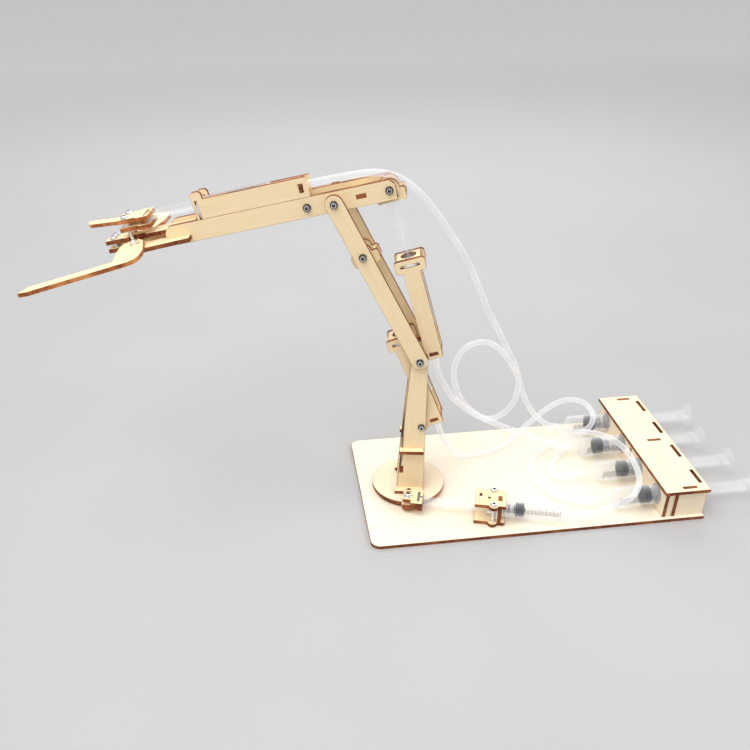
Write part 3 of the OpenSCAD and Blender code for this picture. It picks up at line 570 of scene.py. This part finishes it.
def turned(bm, matrix, profile, sides=48, loop=False, flats=None, looks=None):
    """Skin round the x axis through (x, radius) points; a third value of 6 makes that ring hexagonal."""
    rings = [ring_at(matrix, p[0], p[1], sides, flats, len(p) > 2) for p in profile]
    if loop:
        rings.append(rings[0])
    first = len(bm.faces)
    rows = skin(bm, rings)
    if not loop:
        bm.faces.new(rows[0])
        bm.faces.new(rows[-1][::-1])
    if looks:
        bm.faces.ensure_lookup_table()
        for i, face in enumerate(bm.faces[first:]):
            band = i // sides
            face.material_index = looks[band] if band < len(looks) else looks[-1]


def slab(bm, matrix, low, high, ease=0.25):
    """Rib with eased long edges, running along x."""
    (x0, y0, z0), (x1, y1, z1) = low, high
    section = [(y0 + ease, z0), (y1 - ease, z0), (y1, z0 + ease), (y1, z1 - ease),
               (y1 - ease, z1), (y0 + ease, z1), (y0, z1 - ease), (y0, z0 + ease)]
    rows = skin(bm, [[point(matrix, x, y, z) for y, z in section] for x in (x0, x1)])
    bm.faces.new(rows[0])
    bm.faces.new(rows[-1][::-1])


def finished(name, bm, looks, body, node, smooth=35):
    bmesh.ops.remove_doubles(bm, verts=bm.verts, dist=1e-7)
    bmesh.ops.recalc_face_normals(bm, faces=bm.faces)
    piece = new_object(name, bm, looks[0], smooth)
    for look in looks[1:]:
        piece.data.materials.append(look)
    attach(piece, body)
    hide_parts(node)
    return piece


def barrel(bm, matrix, tip, shoulder, mouth, r, bore, flange_t, flange_r, flats, nozzle=2.1):
    """Moulded barrel: tapered nozzle, domed shoulder, straight bore and a finger flange."""
    turned(bm, matrix, [
        (tip, nozzle - 0.35), (tip + 0.3, nozzle - 0.15),
        (shoulder - 1.6, nozzle), (shoulder - 0.5, nozzle + 0.9),
        (shoulder, r - 2.6), (shoulder + 0.5, r - 1.0), (shoulder + 1.4, r - 0.2), (shoulder + 2.4, r),
        (mouth - flange_t, r), (mouth, r), (mouth, bore + 0.25), (mouth - 0.4, bore), (shoulder + 2.6, bore),
        (shoulder + 1.6, bore - 0.6), (shoulder + 1.2, bore - 2.4), (shoulder + 1.0, 1.1),
        (tip, 1.0)], loop=True)
    rings = []
    start = mouth - flange_t
    for x, scale in ((start, 0.96), (start + 0.35, 1.0), (mouth - 0.35, 1.0), (mouth, 0.96)):
        rings.append(ring_at(matrix, x, flange_r * scale, 72, [f * scale for f in flats]))
    inner = [ring_at(matrix, x, r - 0.05, 72) for x in (mouth, mouth - flange_t)]
    first = len(bm.faces)
    skin(bm, rings + inner + rings[:1])
    bm.faces.ensure_lookup_table()
    for face in bm.faces[first:]:
        face.material_index = 2


def ticks(bm, matrix, first, last, step, r, middle, short=15, long=27):
    """Row of printed graduations, every fifth one longer."""
    count = int((last - first) / step) + 1
    for i in range(count):
        x = first + i * step
        half = long if i % 5 == 0 else short
        rows = []
        for k in range(7):
            a = math.radians(middle - short + (short + half) * k / 6)
            y, z = (r + 0.05) * math.cos(a), (r + 0.05) * math.sin(a)
            rows.append([bm.verts.new(point(matrix, x + w, y, z)) for w in (-0.2, 0.2)])
        for a, b in zip(rows, rows[1:]):
            bm.faces.new((a[0], a[1], b[1], b[0])).material_index = 1


def rubber_piston(bm, matrix, front, seal):
    """Piston with two lips that seal, a rib between them and a stem toward the plunger."""
    turned(bm, matrix, [
        (front, 0.4), (front + 0.25, 1.2), (front + 1.5, seal - 0.9), (front + 1.9, seal),
        (front + 2.9, seal), (front + 3.2, seal - 0.75), (front + 3.9, seal - 0.75),
        (front + 4.2, seal - 0.15), (front + 4.8, seal - 0.15), (front + 5.1, seal - 0.75),
        (front + 6.1, seal - 0.75), (front + 6.4, seal), (front + 7.6, seal), (front + 8.0, seal - 0.4),
        (front + 8.0, 2.0), (front + 9.5, 1.9), (front + 9.5, 0.4)])


def rod(bm, matrix, start, end, half, thin_from, thin_half, thumb_r, flats):
    """Moulded plunger: four ribs, collars behind the piston and a dished thumb rest."""
    slab(bm, matrix, (start, -0.6, -half), (end - 1.0, 0.6, half))
    slab(bm, matrix, (start, -half, -0.6), (thin_from, half, 0.6))
    slab(bm, matrix, (thin_from - 0.01, -thin_half, -0.6), (end - 1.0, thin_half, 0.6))
    for x, t in ((start, 1.5), (start + 5, 1.2), (thin_from - 2, 1.2)):
        turned(bm, matrix, [
            (x, 2.1), (x, half - 0.3), (x + 0.3, half), (x + t - 0.3, half), (x + t, half - 0.3),
            (x + t, 2.1)], loop=True)
    turned(bm, matrix, [
        (end - 1.8, 0.4), (end - 1.8, thumb_r - 0.5), (end - 1.4, thumb_r), (end - 0.4, thumb_r),
        (end, thumb_r - 0.4),
        (end, thumb_r - 1.2), (end - 0.4, thumb_r - 1.6), (end - 0.4, 0.4)], flats=flats)


def bolt(bm, matrix, under, end, head=2.8, height=HEAD_H, dark=1):
    """Socket-head screw along x: the head ends at under, the shank at end. Looks: 0 bright steel, 1 the same
    steel painted dark, as painted shade in the socket and, when dark is 1, a painted dark reflection round the
    head's flank.
    """
    way = 1 if end > under else -1
    top = under - way * height
    # The socket bands always take look 1, painted shade; the head's chamfer and side take the look dark, a
    # painted dark reflection when it is 1.
    turned(bm, matrix, [
        (top + way * 1.2, 0.3), (top + way * 1.2, 1.15, 6), (top, 1.15, 6), (top, head - 0.85),
        (top + way * 0.45, head - 0.25), (top + way * 0.9, head), (under, head), (under, BOLT_R),
        (end - way * 0.3, BOLT_R),
        (end, 1.2), (end, 0.3)], sides=36, looks=[1, 1, 0, dark, dark, dark, 0, 0, 0, 0])


def nut(bm, matrix, x0, x1, across=2.69, hole=BOLT_R):
    low, high = min(x0, x1), max(x0, x1)
    turned(bm, matrix, [
        (low, hole), (low, across - 0.25), (low + 0.3, across, 6), (high - 0.3, across, 6),
        (high, across - 0.25),
        (high, hole)], sides=36, loop=True)


def washer(bm, matrix, x0, x1, r=3.5):
    turned(bm, matrix, [
        (x0, BOLT_R), (x0, r - 0.1), (x0 + 0.1, r), (x1 - 0.1, r), (x1, r - 0.1), (x1, BOLT_R)], loop=True)


def flat_head(bm, axis, top):
    """Bolt with a low round head at the foot of the axis, its shank ending at top."""
    turned(bm, axis, [
        (0.2, 0.3), (0.2, 2.7), (0.6, 3.0), (1.8, 3.0), (1.8, BOLT_R), (top - 0.3, BOLT_R),
        (top, 1.2), (top, 0.3)])


def across_at(matrix, x, z):
    """Frame whose x axis runs across the arm, along +y of the given frame."""
    return matrix @ move(x, 0, z) @ turn_about("Z", 90)


def up_at(matrix, x, y):
    """Frame whose x axis points up the z axis of the given frame."""
    return matrix @ move(x, y, 0) @ turn_about("Y", -90)


def cross_bolt(bm, axis, reach, head_side=-1):
    bolt(bm, axis, head_side * reach, -head_side * (reach + HEAD_H))
    nut(bm, axis, -head_side * reach, -head_side * (reach + 1.9))


# syringes in the control box
MASTER = [move(0, y, MASTER_Z) for y in MASTER_Y]
bm = bmesh.new()
for i, axis in enumerate(MASTER):
    barrel(bm, axis, 54.7, 64.7, 137.0, 8.25, 7.5, 1.8, 12.3, (8.8, 12.3))
    ticks(bm, axis, 69.0, 102.0, 1.25, 8.25, 170, 20, 34)
finished("master_barrels_detail", bm, [CLEAR, INK, MILKY], "base", "master_barrels")
for i, axis in enumerate(MASTER):
    bm = bmesh.new()
    rubber_piston(bm, axis, PISTON_X[i] - 4.0, 7.44)
    finished(f"master_piston_{i + 1}_detail", bm, [RUBBER], f"master_rod_{i + 1}", f"master_piston_{i + 1}")
    bm = bmesh.new()
    end = PISTON_X[i] + 100.0
    rod(bm, axis, PISTON_X[i] + 4.0, end, 6.4, end - 8.0, 6.4, 10.5, (10.5, 10.5))
    finished(f"master_plunger_{i + 1}_detail", bm, [ROD], f"master_rod_{i + 1}", f"master_plunger_{i + 1}")

# syringes that move the arm: frame, barrel, piston front, plunger end, widths at the far end
LOWER_AXIS = LOWER @ move(0, 0, -OFFSET)
HOLDER_AXIS = HOLDER @ move(0, 0, -OFFSET)
GRIP_AXIS = FOREARM @ move(0, 0, GRIP_N)
SLAVES = {
    "turn": (TURNER, (-69.0, -60.0, -4.5), 1.5, (10.5, 6.7), TURN_REACH - TURN_THUMB_GAP - PLUNGER_L,
             TURN_REACH - TURN_THUMB_GAP, TURN_REACH - 16.0, 4.9, 7.5, (7.5, 4.2), 28, "swivel", "turn_rod"),
    "lower": (LOWER_AXIS, (TIP, SHOULDER_X, MOUTH), 1.8, (10.5, 6.3), LOWER_REACH - THUMB_GAP - PLUNGER_L,
              LOWER_REACH - THUMB_GAP, LOWER_REACH - 12.0, 3.7, 8.0, (6.8, 8.0), -60,
              "lower_holder", "lower_rod"),
    "upper": (HOLDER_AXIS, (TIP, SHOULDER_X, MOUTH), 1.8, (10.5, 6.3), UPPER_REACH - THUMB_GAP - PLUNGER_L,
              UPPER_REACH - THUMB_GAP, UPPER_REACH - 12.0, 3.7, 8.0, (6.8, 8.0), -60,
              "upper_holder", "upper_rod"),
    "gripper": (GRIP_AXIS, (32.5, 41.5, 96.5), 1.5, (10.5, 6.3), 53.0, 137.0, 129.0, 4.9, 7.5, (7.5, 2.9), 75,
                "forearm", "gripper_slider"),
}
for name, data in SLAVES.items():
    axis, (tip, shoulder, mouth), thick, flats, front, end, thin_from, thin_half, thumb_r, thumb_flats, middle, \
        still, moving = data
    bm = bmesh.new()
    barrel(bm, axis, tip, shoulder, mouth, 6.75, 6.1, thick, 10.5, flats)
    ticks(bm, axis, shoulder + 4.0, mouth - 6.0, 1.1, 6.75, middle)
    finished(f"{name}_barrel_detail", bm, [CLEAR, INK, MILKY], still, f"{name}_barrel")
    bm = bmesh.new()
    rubber_piston(bm, axis, front, 6.04)
    finished(f"{name}_piston_detail", bm, [RUBBER], moving, f"{name}_piston")
    bm = bmesh.new()
    rod(bm, axis, front + PISTON_L, end, 4.9, thin_from, thin_half, thumb_r, thumb_flats)
    finished(f"{name}_plunger_detail", bm, [ROD], moving, f"{name}_plunger")

# screws, nuts and washers
TURN_BOTTOM, TURN_TOP = 6.1, 9.1
bm = bmesh.new()
pivot = up_at(ARM, 0, 0)
flat_head(bm, pivot, 15.9)
nut(bm, pivot, TURN_TOP + 3.0, TURN_TOP + 5.2)
for side in (-1, 1):
    bolt(bm, up_at(ARM, 0.5, side * 19.8), TURN_TOP + 3.0, TURN_BOTTOM, dark=0)
shoulder_axis = across_at(ARM, SHOULDER[0], SHOULDER[1])
cross_bolt(bm, shoulder_axis, OUTER_OUT + 0.6)
for side in (-1, 1):
    low, high = sorted((side * (OUTER_OUT + 0.06), side * (OUTER_OUT + 0.6)))
    washer(bm, shoulder_axis, low, high)
cross_bolt(bm, across_at(ARM, TOWER_PIN[0], TOWER_PIN[1]), TOWER_OUT)
crank = up_at(ARM, 0, -CRANK_R)
bolt(bm, crank, 18.4, TURN_BOTTOM - 1.0, dark=0)
nut(bm, crank, TURN_BOTTOM - 2.0, TURN_BOTTOM, 2.4)
washer(bm, crank, 17.86, 18.4)
finished("tower_bolts_detail", bm, [STEEL, SHADED_STEEL], "turntable", "tower_bolts")

bm = bmesh.new()
swing = TURNER @ move(0, 0, -SWIVEL[2])
pivot = up_at(swing, 0, 0)
flat_head(bm, pivot, 7.9)
washer(bm, pivot, 3.05, 3.6)
turned(bm, pivot, [(6.6, 1.5), (6.6, 2.8), (7.5, 2.6), (7.9, 2.0), (7.9, 1.3)], loop=True)
for side in (-1, 1):
    axis = up_at(swing, -2.2, side * 9.7)
    bolt(bm, axis, 23.4, 3.3, dark=0)
    nut(bm, axis, 6.6, 8.2, 1.95)
finished("swivel_screws_detail", bm, [STEEL, SHADED_STEEL], "swivel", "swivel_screws")

bm = bmesh.new()
cross_bolt(bm, across_at(UPPER_ARM, PLUNGER_PIN, 0), OUTER_OUT)
elbow = across_at(UPPER_ARM, UPPER_L, 0)
cross_bolt(bm, elbow, OUTER_OUT)
for side in (-1, 1):
    low, high = sorted((side * (INNER_OUT + 0.06), side * 13.6))
    washer(bm, elbow, low, high)
finished("upper_arm_bolts_detail", bm, [STEEL, SHADED_STEEL], "upper_arm", "upper_arm_bolts")

bm = bmesh.new()
for f in (20.0, -REAR_PIN):
    cross_bolt(bm, across_at(FOREARM, f, 0), INNER_OUT, 1)
for side in (-1, 1):
    axis = up_at(FOREARM, JAW_F, side * JAW_L)
    bolt(bm, axis, PALM_LOW, 5.0, dark=0)
    washer(bm, axis, 1.56, 2.16)
    nut(bm, axis, 2.16, 4.56)
    bolt(bm, up_at(FOREARM, 166, side * 3), PALM_HIGH + 3.0, PALM_LOW, dark=0)
finished("forearm_bolts_detail", bm, [STEEL, SHADED_STEEL], "forearm", "forearm_bolts")

bm = bmesh.new()
for side in (-1, 1):
    axis = up_at(FOREARM, DRIVE_F, side * 5.5)
    bolt(bm, axis, 18.0, -1.2, dark=0)
    nut(bm, axis, 12.0, 15.0, 2.25)
finished("drive_screws_detail", bm, [STEEL, SHADED_STEEL], "gripper_slider", "drive_screws")

# ---------------------------------------------------------------- floor

floor_material, floor_tree, floor_shader = material("pale_floor")
floor_coords = floor_tree.nodes.new("ShaderNodeTexCoord")
floor_noise = noise_at(floor_tree, floor_coords.outputs["Object"], 3.0, 2.0)
floor_split = floor_tree.nodes.new("ShaderNodeSeparateXYZ")
floor_tree.links.new(floor_coords.outputs["Object"], floor_split.inputs[0])
# Painted light: the floor's colour lightens from the near grey to a pale grey further back, from y = 0.2 m to
# 2.2 m.
painted_far_light = maths(floor_tree, "MULTIPLY", maths(floor_tree, "SUBTRACT", floor_split.outputs[1], 0.2), 0.5, True)
near_tone = ramp(floor_tree, floor_noise, [(0.3, (0.44, 0.44, 0.438)), (0.7, (0.47, 0.47, 0.468))])
floor_tone = blend_colour(floor_tree, painted_far_light, near_tone, (0.80, 0.80, 0.79))
floor_tree.links.new(floor_tone, floor_shader.inputs["Base Color"])
floor_shader.inputs["Roughness"].default_value = 0.55
bm = bmesh.new()
corners = [bm.verts.new(p) for p in ((-9, -9, 0), (9, -9, 0), (9, 9, 0), (-9, 9, 0))]
bm.faces.new(corners)
floor = new_object("floor", bm, floor_material, 0)
